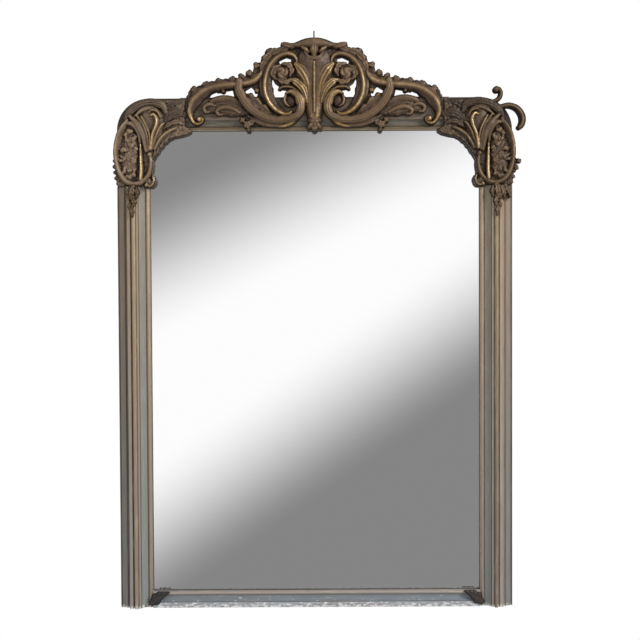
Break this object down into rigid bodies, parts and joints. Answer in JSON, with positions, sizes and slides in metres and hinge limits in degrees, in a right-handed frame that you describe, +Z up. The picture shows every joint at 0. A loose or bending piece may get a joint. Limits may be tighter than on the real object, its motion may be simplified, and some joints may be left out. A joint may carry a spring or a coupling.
{
  "type": "overmantel mirror",
  "caption": "Tall chimney mirror in a painted and gilt moulded frame with a pierced scroll crest, corner cartouches and a rounded-top plate.",
  "frame": {"origin": "middle of the bottom rail's underside, in the plane of the wall behind the frame", "axes": "+Z up, +X to the viewer's right along the chimney shelf, +Y towards the wall; the glass faces -Y"},
  "size_m": [1.2947, 0.081, 1.809],
  "materials": {
    "carcass_pine": "old unfinished pine, darkened",
    "backboard_pine": "rough sawn pine, darkened",
    "gilt_slip": "worn water gilding over red bole on gesso",
    "painted_gesso": "distressed grey-green paint over gesso, gilt bead",
    "bronzed_carving": "dark bronzed carving and composition with gilt ridges",
    "mirror_glass": "old silvered plate",
    "wrought_iron": "dark iron with light rust"
  },
  "bodies": {
    "root": {"backboard_nails": "wrought_iron", "backboards": "backboard_pine", "bottom_rail": "carcass_pine", "bottom_rail_moulding": "painted_gesso", "bottom_sight_slip": "gilt_slip", "corner_edge_leaves": "bronzed_carving", "corner_flowers": "bronzed_carving", "corner_sprays": "bronzed_carving", "corner_volutes": "bronzed_carving", "crest_base_volutes": "bronzed_carving", "crest_cap_leaf": "bronzed_carving", "crest_frieze_sprays": "bronzed_carving", "crest_ground": "bronzed_carving", "crest_left_c_scroll": "bronzed_carving", "crest_left_s_scroll": "bronzed_carving", "crest_palmette": "bronzed_carving", "crest_pin": "wrought_iron", "crest_raffle_leaves": "bronzed_carving", "crest_right_c_scroll": "bronzed_carving", "crest_right_s_scroll": "bronzed_carving", "crest_rosettes": "bronzed_carving", "crest_spine": "carcass_pine", "crest_strap": "wrought_iron", "crest_strap_screws": "wrought_iron", "crest_sweep_leaves": "bronzed_carving", "glazing_blocks": "carcass_pine", "hanging_plate_screws": "wrought_iron", "hanging_plates": "wrought_iron", "husk_drops": "bronzed_carving", "joint_pegs": "carcass_pine", "left_corner_block": "bronzed_carving", "left_corner_cartouche": "bronzed_carving", "left_corner_fan": "bronzed_carving", "left_sight_slip": "gilt_slip", "left_spandrel": "bronzed_carving", "left_stile": "carcass_pine", "left_stile_moulding": "painted_gesso", "lower_corner_leaves": "bronzed_carving", "mirror_plate": "mirror_glass", "right_corner_block": "bronzed_carving", "right_corner_cartouche": "bronzed_carving", "right_corner_fan": "bronzed_carving", "right_corner_outer_curl": "bronzed_carving", "right_corner_upper_curl": "bronzed_carving", "right_sight_slip": "gilt_slip", "right_spandrel": "bronzed_carving", "right_stile": "carcass_pine", "right_stile_moulding": "painted_gesso", "top_rail": "carcass_pine", "top_rail_frieze": "painted_gesso", "top_sight_slip": "gilt_slip"}
  },
  "joints": []
}
